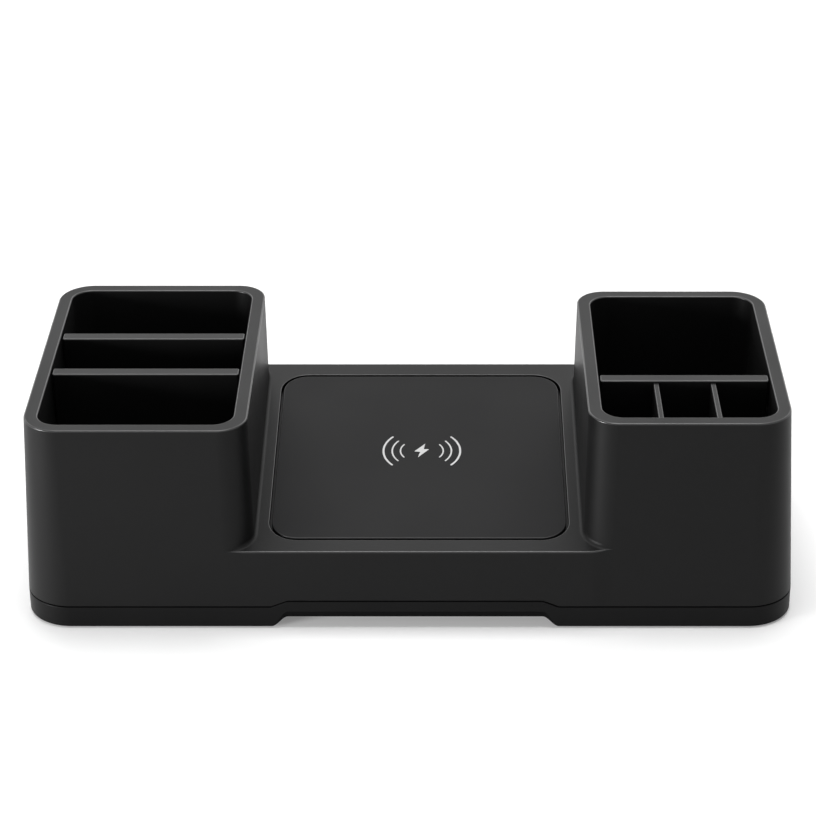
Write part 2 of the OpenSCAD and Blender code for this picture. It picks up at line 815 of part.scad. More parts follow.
// A smooth path from the first guide point to the last, bending at the ones between
function bend(a, b, c, n) = [
  for (i = [1 : n]) let (t = i / n) (1 - t) * (1 - t) * a + 2 * t * (1 - t) * b + t * t * c
];
function route(g, n) =
  let (last = len(g) - 2)
  concat([g[0]], [
    for (i = [1 : last])
      each bend(
        i == 1 ? g[0] : (g[i - 1] + g[i]) / 2, g[i],
        i == last ? g[last + 1] : (g[i] + g[i + 1]) / 2, n
      )
  ]);

// A point of the deck frame in the body frame
function from_deck(p) = [
  bay_x + p[0],
  (p[1] + pad_shift) * cos(deck_tilt) - p[2] * sin(deck_tilt),
  deck_mid_h + (p[1] + pad_shift) * sin(deck_tilt) + p[2] * cos(deck_tilt)
];

// The two leads run from the coil's ends to the solder pads on the board
module coil_leads() {
  lead_steps = 5;
  out_r = coil_in_r + coil_turns * coil_pitch;
  lead_gap = 0.05;
  lead_air = 3;
  wall_r = carrier_out_d / 2;
  under_z = carrier_flange_top - carrier_t;
  outer = [
    from_deck([lead_gap, -out_r, coil_z]),
    from_deck([lead_notch_x - 2, -out_r, coil_z]),
    from_deck([lead_notch_x, -wall_r - lead_air, coil_z]),
    from_deck([lead_notch_x, -wall_r - lead_air, under_z - 2 * lead_air]),
    [bay_x + solder_x, solder_y, board_top + 2 * lead_air],
    [bay_x + solder_x, solder_y, board_top + coil_wire]
  ];
  inner = [
    from_deck([-lead_gap, -coil_in_r, coil_z]),
    from_deck([-lead_air, -coil_in_r, coil_z]),
    from_deck([-lead_hole_d / 8, -lead_hole_d * 0.4, coil_z]),
    from_deck([0, 0, coil_z]),
    from_deck([0, 0, under_z]),
    from_deck([0, 0, under_z - lead_air]),
    [bay_x - solder_x, solder_y, board_top + 2 * lead_air],
    [bay_x - solder_x, solder_y, board_top + coil_wire]
  ];
  color("#c8452e")
    for (g = [outer, inner])
      let (end = g[len(g) - 1])
        tube(concat(route(g, lead_steps), [[end[0], end[1], board_top]]), coil_wire, 6, 30);
}

module charging_board() {
  color(board_color)
    difference() {
      translate([bay_x, board_y, board_z])
        linear_extrude(height = board_t) rounded_rect(board_w, board_d, 1.5);
      for (p = board_screw_places)
        translate([p[0], p[1], board_z - 1]) cylinder(h = board_t + 2, d = small_hole_d);
    }
}

// Places on the board are parts of its width and depth, from its middle
module on_board(part_x, part_y) {
  translate([bay_x + part_x * board_w, board_y + part_y * board_d, board_top]) children();
}

// A flat package of the given size, standing on the board
module package(part_x, part_y, w, d, h) {
  on_board(part_x, part_y) translate([-w / 2, -d / 2, 0]) cube([w, d, h]);
}

module controller_chip() {
  color("#202022") package(-0.04, 0.03, chip_w, chip_w, chip_h);
}

module bridge_transistors() {
  color("#27272a")
    for (part_x = [-0.39, -0.27, 0.21, 0.33])
      package(part_x, -0.16, transistor_w, transistor_d, transistor_h);
}

module resonant_capacitors() {
  color("#a98a5c")
    for (part_x = [0.16, 0.225, 0.29, 0.355])
      package(part_x, -0.36, capacitor_w, capacitor_d, capacitor_h);
}

module power_inductor() {
  color("#3b3b3e")
    on_board(-0.3, 0.18) {
      linear_extrude(height = inductor_base_h) rounded_rect(inductor_w, inductor_w, inductor_w * 0.15);
      linear_extrude(height = inductor_h)
        rounded_rect(inductor_w * 0.96, inductor_w * 0.96, inductor_w * 0.3);
    }
}

module input_capacitors() {
  color("#8f9296")
    for (part_x = [0.21, 0.36])
      on_board(part_x, 0.13) {
        linear_extrude(height = can_base_h) rounded_rect(can_d * 1.05, can_d * 1.05, can_d * 0.16);
        cylinder(h = can_h, d = can_d);
      }
}

module at_inlet() {
  translate([bay_x, inlet_back_y, inlet_z]) rotate([90, 0, 0]) children();
}

module usb_c_shell() {
  color(metal_color)
    at_inlet()
      difference() {
        linear_extrude(height = inlet_l) inlet_outline(0);
        translate([0, 0, -1])
          linear_extrude(height = inlet_l - inlet_back_t + 1) inlet_outline(-inlet_wall);
      }
}

module usb_c_tongue() {
  tongue_w = inlet_w - inlet_h + 1;
  tongue_t = 0.7;
  recess = 1.2;
  core_l = 1.8;
  core_z = inlet_l - inlet_back_t - core_l;
  color("#1a1a1c")
    at_inlet() {
      translate([-tongue_w / 2, -tongue_t / 2, recess])
        cube([tongue_w, tongue_t, core_z - recess + eps]);
      translate([0, 0, core_z]) linear_extrude(height = core_l) inlet_outline(-inlet_wall - 0.02);
    }
}

// Fasteners and feet

module cross_slot(d, h) {
  for (a = [0, 90]) rotate(a) translate([-d / 2, -d / 8, 0]) cube([d, d / 4, h]);
}

// A pan head screw, its head at z = 0 pointing down and its shank going up
module screw(d, l, head_d, head_t) {
  difference() {
    union() {
      cylinder(h = head_t, d1 = head_d * 0.86, d2 = head_d);
      cylinder(h = head_t + l, d = d);
    }
    translate([0, 0, -eps]) cross_slot(head_d * 0.6, head_t * 0.6);
  }
}

module base_screws() {
  color(metal_color)
    for (p = base_screw_places)
      translate([p[0], p[1], screw_head_z]) screw(base_screw_d, base_screw_l, screw_head_d, screw_head_t);
}

module carrier_screws() {
  color(metal_color)
    on_deck()
      for (p = carrier_boss_places)
        translate([p[0], p[1], carrier_flange_top - carrier_t - small_head_t])
          screw(small_screw_d, carrier_t + small_screw_grip, small_head_d, small_head_t);
}

module board_screws() {
  color(metal_color)
    for (p = board_screw_places)
      translate([p[0], p[1], board_top + small_head_t])
        mirror([0, 0, 1]) screw(small_screw_d, board_t + small_screw_grip, small_head_d, small_head_t);
}

module rubber_foot(sx, sy) {
  chamfer = 0.4;
  color("#0f0f10")
    translate([sx * foot_x, sy * foot_y, 0]) {
      cylinder(h = chamfer, d1 = foot_d - 2 * chamfer, d2 = foot_d);
      translate([0, 0, chamfer]) cylinder(h = foot_t - chamfer, d = foot_d);
    }
}

module foot_front_left() {
  rubber_foot(-1, -1);
}

module foot_front_right() {
  rubber_foot(1, -1);
}

module foot_back_left() {
  rubber_foot(-1, 1);
}

module foot_back_right() {
  rubber_foot(1, 1);
}

// Dividers

divider_edge_r = 1;

// Outline of a plate between two drafted walls that stand at lo and hi at the rim
module plate_outline(lo, hi, top) {
  foot_cut = 1;
  x0 = lo + divider_end_gap;
  x1 = hi - divider_end_gap;
  z0 = divider_foot;
  polygon([
    [x0 + bin_inset(z0) + foot_cut, z0], [x1 - bin_inset(z0) - foot_cut, z0],
    [x1 - bin_inset(z0), z0 + foot_cut], [x1 - bin_inset(top), top],
    [x0 + bin_inset(top), top], [x0 + bin_inset(z0), z0 + foot_cut]
  ]);
}

// Side view of a plate of thickness t with a rounded top
module plate_section(t, top, r) {
  translate([-t / 2, 0]) square([t, top - r]);
  translate([-t / 2 + r, 0]) square([t - 2 * r, top]);
  for (s = [-1, 1]) translate([s * (t / 2 - r), top - r]) circle(r);
}

// A divider across a bin, centred on y
module cross_plate(bin, y) {
  intersection() {
    translate([0, y, 0])
      rotate([90, 0, 0]) linear_extrude(height = 2 * divider_t, center = true)
        plate_outline(bin[0], bin[1], divider_top);
    translate([0, y, 0])
      rotate([90, 0, 90]) linear_extrude(height = big, center = true)
        plate_section(divider_t, divider_top, divider_edge_r);
  }
}

module left_rear_divider() {
  color(body_color) cross_plate(left_bin, rear_divider_y);
}

module left_front_divider() {
  color(body_color) cross_plate(left_bin, front_divider_y);
}

// The cross wall and the two short partitions of the small pockets lift out as one comb
module right_pocket_insert() {
  top = divider_top - partition_drop;
  color(body_color) {
    cross_plate(right_bin, cross_wall_y);
    for (i = [1, 2])
      translate([right_bin[0] + (right_bin[1] - right_bin[0]) * i / 3, 0, 0])
        intersection() {
          rotate([90, 0, 90]) linear_extrude(height = 2 * partition_t, center = true)
            intersection() {
              plate_outline(-right_bin_y, right_bin_y, top);
              translate([-big + cross_wall_y, 0]) square(big);
            }
          rotate([90, 0, 0]) linear_extrude(height = big, center = true)
            plate_section(partition_t, top, partition_t / 3);
        }
  }
}

housing();
base_cover();
pad_cover();
pad_adhesive();
coil_carrier();
ferrite_disc();
charging_coil();
coil_leads();
charging_board();
controller_chip();
bridge_transistors();
resonant_capacitors();
power_inductor();
input_capacitors();
usb_c_shell();
usb_c_tongue();
base_screws();
carrier_screws();
board_screws();
foot_front_left();
foot_front_right();
foot_back_left();
foot_back_right();
left_rear_divider();
left_front_divider();
right_pocket_insert();
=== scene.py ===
# Looks of a desk organizer: two storage towers with an inclined wireless charging deck between them.
# Sizes are in millimetres in the part's own frame and become metres when a mesh is made.
import math

import bmesh
import bpy
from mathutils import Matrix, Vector, geometry


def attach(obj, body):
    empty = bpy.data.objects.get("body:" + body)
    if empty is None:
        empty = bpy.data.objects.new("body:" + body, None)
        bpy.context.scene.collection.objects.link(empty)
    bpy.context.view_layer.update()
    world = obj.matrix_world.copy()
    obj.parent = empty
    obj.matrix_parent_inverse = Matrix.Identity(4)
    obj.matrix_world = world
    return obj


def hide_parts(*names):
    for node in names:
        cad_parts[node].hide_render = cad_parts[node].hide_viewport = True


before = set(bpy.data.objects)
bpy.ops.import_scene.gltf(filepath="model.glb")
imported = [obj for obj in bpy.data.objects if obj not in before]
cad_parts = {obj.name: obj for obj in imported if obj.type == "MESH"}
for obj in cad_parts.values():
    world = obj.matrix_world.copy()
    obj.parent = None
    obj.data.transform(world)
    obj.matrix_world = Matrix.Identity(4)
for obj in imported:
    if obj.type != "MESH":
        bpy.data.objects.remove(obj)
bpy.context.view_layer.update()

# Overall
RIM_W, RIM_H = 254.8, 76.8
BODY_D = 110.6
RIM_D = {-1: 111.8, 1: 101.8}
END_DRAFT, INNER_DRAFT, BIN_DRAFT = 3.3, 0.8, 1.0
CORNER_R, LOW_CORNER_R, TOWER_R = 12.0, 16.0, 10.0
INNER_X = {-1: -53.2, 1: 59.7}
RIM_ROUND = 0.5

# Bins and dividers
BINS = {-1: (-122.7, -57.9), 1: (64.4, 122.7)}
BIN_Y = {-1: 51.2, 1: 46.2}
BIN_R, BIN_FLOOR = 7.0, 15.0
BIN_UNDER = 12.0
FLOOR_ROUND = 1.6
TRAY_FLOOR, TRAY_BACK_Y = 50.8, -14.2
DIVIDER_T, PARTITION_T = 4.6, 1.9
DIVIDER_TOP, DIVIDER_FOOT, DIVIDER_ROUND = 76.2, 15.3, 0.45
PARTITION_TOP = 75.4
END_GAP, SLIDE_GAP = 0.45, 0.3
FRONT_DIVIDER_Y, REAR_DIVIDER_Y, CROSS_WALL_Y = -11.9, 15.2, -16.8
RIB_W, RIB_REACH, RIB_TOP = 1.8, 2.48, 62.8

# Deck and pad
DECK_FRONT, DECK_BACK, DECK_T = 30.4, 44.7, 4.4
FOOT_R = 1.4
DECK_EDGE_R = 0.45
BAY_X = 3.25
PAD_W, PAD_D, PAD_R, PAD_T, PAD_GAP = 100.2, 96.2, 8.9, 2.0, 0.95
PAD_SHIFT = -0.3
RECESS = 2.25
RECESS_ROUND, PAD_ROUND = 0.25, 0.3
WINDOW_W, WINDOW_R = 68.0, 6.0
SKIN_T = 2.8

# Parting line and base
PARTING_END, PARTING_MID, PARTING_GAP = 8.4, 10.7, 0.4
BASE_LIFT, RELIEF_H, RAMP_RUN = 0.5, 3.8, 5.6
RELIEF = (-47.0, 50.9)
BASE_EDGE_R, BASE_FLOOR_T, BASE_WALL = 0.6, 2.6, 2.6
CUT_D, CUT_H = 1.4, 2.8
LIP_H, LIP_T, LIP_GAP = 1.6, 1.4, 0.2
PARTING_ROUND = 0.3
INLET_W, INLET_H, INLET_Z = 9.74, 4.06, 14.63
FOOT_D, FOOT_T = 14.0, 1.8
SCREW_D, HEAD_D, HEAD_TOP = 3.4, 5.8, 2.6


def deg_tan(a):
    return math.tan(math.radians(a))


def below_rim(z):
    return RIM_H - max(z, PARTING_END)


def low_share(z):
    return below_rim(z) / (RIM_H - PARTING_END)


def end_x(z):
    return RIM_W / 2 + below_rim(z) * deg_tan(END_DRAFT)


def half_d(side, z):
    k = low_share(z)
    return k * BODY_D / 2 + (1 - k) * RIM_D[side] / 2


def face_y(z):
    return half_d(-1, z)


def front_y(x, z):
    """Half depth at x: the bay has the left tower's faces, which run into the right tower's."""
    k = max(0.0, min(1.0, (x - INNER_X[1]) / TOWER_R))
    k = k * k * (3 - 2 * k)
    return (1 - k) * half_d(-1, z) + k * half_d(1, z)


def corner(z):
    return CORNER_R + low_share(z) * (LOW_CORNER_R - CORNER_R)


def inner_x(side, z):
    return INNER_X[side] - side * (RIM_H - z) * deg_tan(INNER_DRAFT)


DECK_MID = (DECK_FRONT + DECK_BACK) / 2
SLOPE = (DECK_BACK - DECK_FRONT) / (face_y(DECK_FRONT) + face_y(DECK_BACK))
TILT = math.atan(SLOPE)


def deck_z(y):
    return DECK_MID + y * SLOPE


def on_deck(u, v, h):
    """A point given along the deck, up its slope and out of it, from the pad's middle."""
    v += PAD_SHIFT
    return (
        BAY_X + u,
        v * math.cos(TILT) - h * math.sin(TILT),
        DECK_MID + v * math.sin(TILT) + h * math.cos(TILT),
    )


def arc(steps):
    return [math.pi / 2 * i / steps for i in range(steps + 1)]


class Skin:
    """Collects points and faces in millimetres, joining points that fall together."""

    def __init__(self):
        self.points = []
        self.faces = []
        self.known = {}
        self.marks = []
        self.mark = 0

    def point(self, p):
        key = (round(p[0], 4), round(p[1], 4), round(p[2], 4))
        if key not in self.known:
            self.known[key] = len(self.points)
            self.points.append(tuple(p))
        return self.known[key]

    def face(self, *pts):
        ring = []
        for p in pts:
            i = self.point(p)
            if i not in ring:
                ring.append(i)
        if len(ring) > 2:
            self.faces.append(ring)
            self.marks.append(self.mark)

    def edge(self, rows, closed=True):
        """Rows of a rounded edge, marked for the piece's second material: a lighter, glossier copy of the plastic
        painted as edge highlight, or on the base a darker, duller copy painted as shade.
        """
        self.mark = 1
        self.rows(rows, closed)
        self.mark = 0

    def strip(self, a, b, closed=False):
        n = len(a)
        for i in range(n if closed else n - 1):
            j = (i + 1) % n
            self.face(a[i], a[j], b[j], b[i])

    def rows(self, rows, closed=False):
        for a, b in zip(rows, rows[1:]):
            self.strip(a, b, closed)

    def fill(self, outer, holes=(), flat=lambda p: (p[0], p[1])):
        """Triangles over a flat outline with holes."""
        loops = [list(outer)] + [list(h) for h in holes]
        pts, edges, polys = [], [], []
        for loop in loops:
            start = len(pts)
            clean = []
            for p in loop:
                if not clean or math.dist(p, clean[-1]) > 1e-4:
                    clean.append(p)
            if math.dist(clean[0], clean[-1]) < 1e-4:
                clean.pop()
            pts += clean
            n = len(clean)
            edges += [(start + i, start + (i + 1) % n) for i in range(n)]
            polys.append([flat(p) for p in clean])
        flat_pts = [Vector(flat(p)) for p in pts]
        out, _, tris, came, _, _ = geometry.delaunay_2d_cdt(flat_pts, edges, [], 0, 1e-6)
        for tri in tris:
            c = (out[tri[0]] + out[tri[1]] + out[tri[2]]) / 3
            if inside(c, polys[0]) and not any(inside(c, h) for h in polys[1:]):
                self.face(*[pts[came[k][0]] for k in tri])

    def rounded_top(self, rows, top):
        """A closed piece whose last rows round its upper edge."""
        self.rows(rows, closed=True)
        self.edge(top)
        self.fill(rows[0])
        self.fill(top[-1])

    def lathe_like(self, rows, flat=lambda p: (p[0], p[1])):
        """A closed piece from a stack of closed rows, filled at both ends."""
        self.rows(rows, closed=True)
        self.fill(rows[0], flat=flat)
        self.fill(rows[-1], flat=flat)


def inside(c, poly):
    hit = False
    for (x0, y0), (x1, y1) in zip(poly, poly[1:] + poly[:1]):
        if (y0 > c[1]) != (y1 > c[1]) and c[0] < x0 + (c[1] - y0) / (y1 - y0) * (x1 - x0):
            hit = not hit
    return hit


def loop(x0, x1, y0, y1, r, n=14):
    """Points round a rectangle with rounded corners, the same number for any size."""
    r = max(r, 0.02)
    pts = []
    for cx, cy, a0 in ((x1 - r, y1 - r, 0), (x0 + r, y1 - r, 90), (x0 + r, y0 + r, 180), (x1 - r, y0 + r, 270)):
        for i in range(n + 1):
            a = math.radians(a0 + 90 * i / n)
            pts.append((cx + r * math.cos(a), cy + r * math.sin(a)))
    return pts


def at_height(pts, z):
    return [(x, y, z) for x, y in pts]


def make(name, skin, body, materials, replaces=()):
    mesh = bpy.data.meshes.new(name)
    mesh.from_pydata([(x / 1000, y / 1000, z / 1000) for x, y, z in skin.points], [], skin.faces)
    mesh.polygons.foreach_set("material_index", skin.marks)
    bm = bmesh.new()
    bm.from_mesh(mesh)
    bmesh.ops.remove_doubles(bm, verts=bm.verts, dist=2e-7)
    bmesh.ops.dissolve_degenerate(bm, dist=1e-8, edges=bm.edges)
    bmesh.ops.recalc_face_normals(bm, faces=bm.faces)
    loose = sum(1 for e in bm.edges if len(e.link_faces) != 2)
    bm.to_mesh(mesh)
    bm.free()
    print("piece", name, "faces", len(mesh.polygons), "open edges", loose)
    for p in mesh.polygons:
        p.use_smooth = True
    piece = bpy.data.objects.new(name, mesh)
    bpy.context.scene.collection.objects.link(piece)
    for material in materials:
        mesh.materials.append(material)
    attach(piece, body)
    if replaces:
        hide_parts(*replaces)
    return piece


def crease(piece, angle=35):
    """Edges sharper than the angle stay sharp, and large faces lead the shading."""
    mesh = piece.data
    mesh.set_sharp_from_angle(angle=math.radians(angle))
    mod = piece.modifiers.new("shade", "WEIGHTED_NORMAL")
    mod.mode = "FACE_AREA"
    mod.weight = 60
    mod.keep_sharp = True


# Stations round a tower: a corner, the angle from the front or back normal, and the wall there


class Station:
    def __init__(self, kind, side, sy, angle):
        self.kind, self.side, self.sy, self.angle = kind, side, sy, angle
        turn = -side if kind == "inner" else side
        self.n = (turn * math.sin(angle), sy * math.cos(angle))

    def at(self, z, out=0.0):
        if self.kind == "inner":
            r = TOWER_R
            cx = inner_x(self.side, z) + self.side * r
        else:
            r = corner(z)
            cx = self.side * (end_x(z) - r)
        cy = self.sy * (half_d(self.side, z) - r)
        return (cx + (r + out) * self.n[0], cy + (r + out) * self.n[1], z)

    def reach(self, z):
        """Distance at z from the wall to the front or back face along the normal."""
        if math.cos(self.angle) < 0.2:
            return 1e6
        lo, hi = 0.0, 60.0
        for _ in range(60):
            mid = (lo + hi) / 2
            x, y, _z = self.at(z, mid)
            if abs(y) < front_y(x, z):
                lo = mid
            else:
                hi = mid
        return lo

    def deck_reach(self):
        return self.reach(deck_z(self.sy * BODY_D / 2)) if self.angle else 0.0

    def share(self):
        c = max(math.cos(self.angle), 1e-6)
        return min(1.0, self.deck_reach() / (FOOT_R + DECK_EDGE_R / c))

    def over_deck(self, out, height):
        z = DECK_MID
        for _ in range(6):
            x, y, _z = self.at(z, out)
            z = deck_z(y) + height
        return (x, y, z)

    def fillet(self):
        r = FOOT_R * self.share()
        return [self.over_deck(r * (1 - math.cos(a)), r * (1 - math.sin(a))) for a in arc(7)]

    def front_edge(self):
        k, c, t = self.share(), math.cos(self.angle), self.deck_reach()
        r = DECK_EDGE_R * k
        return [self.over_deck(t - r * (1 - math.sin(b)) / c, -r * (1 - math.cos(b))) for b in arc(6)]

    def low(self, z):
        return self.at(z, self.reach(z)) if self.kind == "inner" else self.at(z)


SHARED_ANGLE = math.acos((TOWER_R - DECK_EDGE_R) / (TOWER_R + FOOT_R))
SHARED = [SHARED_ANGLE * i / 12 for i in range(13)]
CLEAR = [SHARED_ANGLE + (math.pi / 2 - SHARED_ANGLE) * i / 14 for i in range(1, 15)]
INNER_ANGLES = SHARED + CLEAR
OUTER_ANGLES = [math.pi / 2 * i / 24 for i in range(25)]


def ramp_share(x, smooth):
    d = min(x - RELIEF[0], RELIEF[1] - x) / RAMP_RUN
    d = max(0.0, min(1.0, d))
    return (1 - math.cos(math.pi * d)) / 2 if smooth else d


def parting_z(x):
    return PARTING_END + (PARTING_MID - PARTING_END) * ramp_share(x, False)


def lower_z(x):
    return BASE_LIFT + (RELIEF_H - BASE_LIFT) * ramp_share(x, True)


CAV_X = end_x(PARTING_END) - BASE_WALL
CAV_Y = face_y(PARTING_END) - BASE_WALL
CAV_R = LOW_CORNER_R - BASE_WALL


def deck_front_row(x, sy):
    """The rounded edge of the deck at x, from the deck down to the front or back face."""
    pts = []
    for b in arc(6):
        z = DECK_MID
        for _ in range(6):
            y = sy * (front_y(x, z) - DECK_EDGE_R * (1 - math.sin(b)))
            z = deck_z(y) - DECK_EDGE_R * (1 - math.cos(b))
        pts.append((x, y, z))
    return pts


def build_housing():
    s = Skin()
    rings = {}
    for side in (-1, 1):
        ring = [Station("inner", side, -1, a) for a in INNER_ANGLES]
        ring += [Station("inner", side, 1, a) for a in reversed(INNER_ANGLES)]
        ring += [Station("outer", side, 1, a) for a in OUTER_ANGLES]
        ring += [Station("outer", side, -1, a) for a in reversed(OUTER_ANGLES)]
        rings[side] = ring

        # Rim: rounded outer edge, flat top, rounded mouth
        rim = []
        for a in arc(6):
            z = RIM_H - RIM_ROUND * (1 - math.cos(a))
            rim.append([st.at(z, -RIM_ROUND * (1 - math.sin(a))) for st in ring])
        s.edge(rim)
        (x0, x1), half = BINS[side], BIN_Y[side]
        rows = []
        for a in arc(6):
            o = RIM_ROUND * (1 - math.sin(a))
            z = RIM_H - RIM_ROUND * (1 - math.cos(a))
            rows.append(at_height(loop(x0 - o, x1 + o, -half - o, half + o, BIN_R + o), z))
        mouth = rows
        s.edge(mouth)
        rows = [mouth[-1]]
        for a in arc(5):
            z = BIN_FLOOR + FLOOR_ROUND * (1 - math.sin(a))
            i = (RIM_H - z) * deg_tan(BIN_DRAFT) + FLOOR_ROUND * (1 - math.cos(a))
            rows.append(at_height(loop(x0 + i, x1 - i, -half + i, half - i, BIN_R - FLOOR_ROUND * (1 - math.cos(a))), z))
        s.rows(rows, closed=True)
        s.fill(rim[0], [mouth[0]])
        s.fill(rows[-1])

        # Walls down to the deck fillet or to the parting line
        wall_top = rim[-1]
        n = len(ring)
        for i in range(n):
            a, b = ring[i], ring[(i + 1) % n]
            ta, tb = wall_top[i], wall_top[(i + 1) % n]
            if a.kind == "inner" and b.kind == "inner":
                fa, fb = a.fillet(), b.fillet()
                s.face(ta, tb, fb[0], fa[0])
                s.strip(fa, fb)
                if max(a.angle, b.angle) <= SHARED_ANGLE + 1e-9:
                    ea, eb = a.front_edge(), b.front_edge()
                    s.face(fa[-1], fb[-1], eb[0], ea[0])
                    s.edge([ea, eb], closed=False)
                    s.face(ea[-1], eb[-1], low_point(b), low_point(a))
            elif a.kind == "outer" and b.kind == "outer":
                s.face(ta, tb, low_point(b), low_point(a))
            elif a.kind == "inner":
                s.face(ta, tb, low_point(b), low_point(a), a.fillet()[0])
            else:
                s.face(ta, tb, b.fillet()[0], low_point(b), low_point(a))

    # Deck edges between the towers
    edge = {}
    for sy in (-1, 1):
        ends = [Station("inner", side, sy, SHARED_ANGLE) for side in (-1, 1)]
        cols = [(ends[0].front_edge(), low_point(ends[0]))]
        for x in bay_xs():
            cols.append((deck_front_row(x, sy), bay_low(x, sy)))
        cols.append((ends[1].front_edge(), low_point(ends[1])))
        for (ra, la), (rb, lb) in zip(cols, cols[1:]):
            s.edge([ra, rb], closed=False)
            panel = [ra[-1], rb[-1], lb, la]
            if sy > 0 and ra[-1][0] < BAY_X < rb[-1][0]:
                s.fill(panel, [inlet_row(front_y(BAY_X, INLET_Z))], flat=lambda p: (p[0], p[2]))
            else:
                s.face(*panel)
        edge[sy] = [c[0][0] for c in cols]

    # Deck surface round the pad recess
    left = [st for st in rings[-1] if st.kind == "inner" and st.angle >= SHARED_ANGLE - 1e-9]
    right = [st for st in rings[1] if st.kind == "inner" and st.angle >= SHARED_ANGLE - 1e-9]
    outline = [st.fillet()[-1] for st in left] + edge[1] + [st.fillet()[-1] for st in reversed(right)] + edge[-1][::-1]
    half_u, half_v = PAD_W / 2 + PAD_GAP, PAD_D / 2 + PAD_GAP
    r = PAD_R + PAD_GAP
    rows = []
    for a in arc(5):
        o = RECESS_ROUND * (1 - math.sin(a))
        flat = loop(-half_u - o, half_u + o, -half_v - o, half_v + o, r + o, 16)
        rows.append([on_deck(u, v, -RECESS_ROUND * (1 - math.cos(a))) for u, v in flat])
    s.edge(rows)
    # The recess wall under the rounding takes a darker, duller copy of the plastic: painted shade in the groove round
    # the pad.
    s.mark = 2
    s.strip(rows[-1], [on_deck(u, v, -RECESS) for u, v in flat], closed=True)
    s.mark = 0
    rows.append([on_deck(u, v, -RECESS) for u, v in flat])
    s.fill(outline, [rows[0]])
    window = loop(-WINDOW_W / 2, WINDOW_W / 2, -WINDOW_W / 2, WINDOW_W / 2, WINDOW_R, 10)
    window_rows = [[on_deck(u, v, h) for u, v in window] for h in (-RECESS, -DECK_T)]
    s.fill(rows[-1], [window_rows[0]])
    s.rows(window_rows, closed=True)

    # Underside of the deck and the space under it
    bay_half = (inner_x(1, DECK_MID) - inner_x(-1, DECK_MID)) / 2 - 0.5
    bay_back = CAV_Y - 0.1
    bay = loop(BAY_X - bay_half, BAY_X + bay_half, -bay_back, bay_back, 4, 8)
    under = [(x, y, deck_z(y) - DECK_T / math.cos(TILT)) for x, y in bay]
    s.fill(under, [window_rows[1]])
    bay_low_row = at_height(bay, BIN_UNDER)
    for i in range(len(bay)):
        j = (i + 1) % len(bay)
        panel = [under[i], under[j], bay_low_row[j], bay_low_row[i]]
        if min(bay[i][1], bay[j][1]) > bay_back - 0.01 and abs(bay[i][0] - bay[j][0]) > INLET_W:
            s.fill(panel, [inlet_row(bay_back)], flat=lambda p: (p[0], p[2]))
        else:
            s.face(*panel)
    s.strip(inlet_row(front_y(BAY_X, INLET_Z)), inlet_row(bay_back), closed=True)

    # Lower edge: small rounding, flange and inner wall up to the underside of the bins
    columns = [edge_column(p) for p in perimeter()]
    rows = [list(r) for r in zip(*columns)]
    s.rows(rows, closed=True)
    s.fill(rows[-1], [bay_low_row])
    return s


def low_point(station):
    x, y, _ = station.low(PARTING_END)
    z = parting_z(x) + PARTING_GAP / 2 + PARTING_ROUND
    return station.low(z)


def bay_xs():
    lo, hi = RELIEF
    return sorted([lo, lo + RAMP_RUN, hi - RAMP_RUN, hi] + [-52.8, -30, -10, 16, 32, 56, INNER_X[1]])


def bay_low(x, sy):
    z = parting_z(x) + PARTING_GAP / 2 + PARTING_ROUND
    return (x, sy * front_y(x, z), z)


def inlet_row(y):
    """Outline of the power inlet's opening in the back wall, at depth y."""
    r, half = INLET_H / 2, (INLET_W - INLET_H) / 2
    pts = []
    for k in range(40):
        a = 2 * math.pi * (k + 0.5) / 40
        pts.append((BAY_X + math.copysign(half, math.cos(a)) + r * math.cos(a), y, INLET_Z + r * math.sin(a)))
    return pts


def perimeter():
    """Places round the lower edge: a point for each height, the outward direction, and the inner wall."""

    def of(st):
        if st.kind == "outer":
            cx, cy = st.side * (CAV_X - CAV_R), st.sy * (CAV_Y - CAV_R)
            inner = (cx + CAV_R * st.n[0], cy + CAV_R * st.n[1])
            return (st.low, st.n, inner)
        return (st.low, (0, st.sy), (st.low(PARTING_END)[0], st.sy * CAV_Y))

    def bay(x, sy):
        return (lambda z: (x, sy * front_y(x, z), z), (0, sy), (x, sy * CAV_Y))

    out = []
    for sy in (-1, 1):
        part = [of(Station("outer", -1, sy, a)) for a in reversed(OUTER_ANGLES)]
        part += [of(Station("inner", -1, sy, a)) for a in SHARED]
        part += [bay(x, sy) for x in bay_xs()]
        part += [of(Station("inner", 1, sy, a)) for a in reversed(SHARED)]
        part += [of(Station("outer", 1, sy, a)) for a in OUTER_ANGLES]
        out += part if sy < 0 else part[::-1]
    return out


def edge_column(place):
    low, n, inner = place
    x = low(PARTING_END)[0]
    z0 = parting_z(x) + PARTING_GAP / 2
    pts = []
    for a in arc(3):
        z = z0 + PARTING_ROUND * (1 - math.sin(a))
        px, py, _ = low(z)
        i = PARTING_ROUND * (1 - math.cos(a))
        pts.append((px - i * n[0], py - i * n[1], z))
    pts.append((inner[0], inner[1], z0))
    pts.append((inner[0], inner[1], BIN_UNDER))
    return pts


def block(s, x0, x1, y0, y1, z0, z1, r, top_r, n=5):
    """A closed upright block with rounded edges."""
    rows = [at_height(loop(x0, x1, y0, y1, r, n), z0)]
    for a in reversed(arc(5)):
        i = top_r * (1 - math.sin(a))
        rows.append(at_height(loop(x0 + i, x1 - i, y0 + i, y1 - i, max(r - i, 0.05), n), z1 - top_r * (1 - math.cos(a))))
    s.lathe_like(rows)


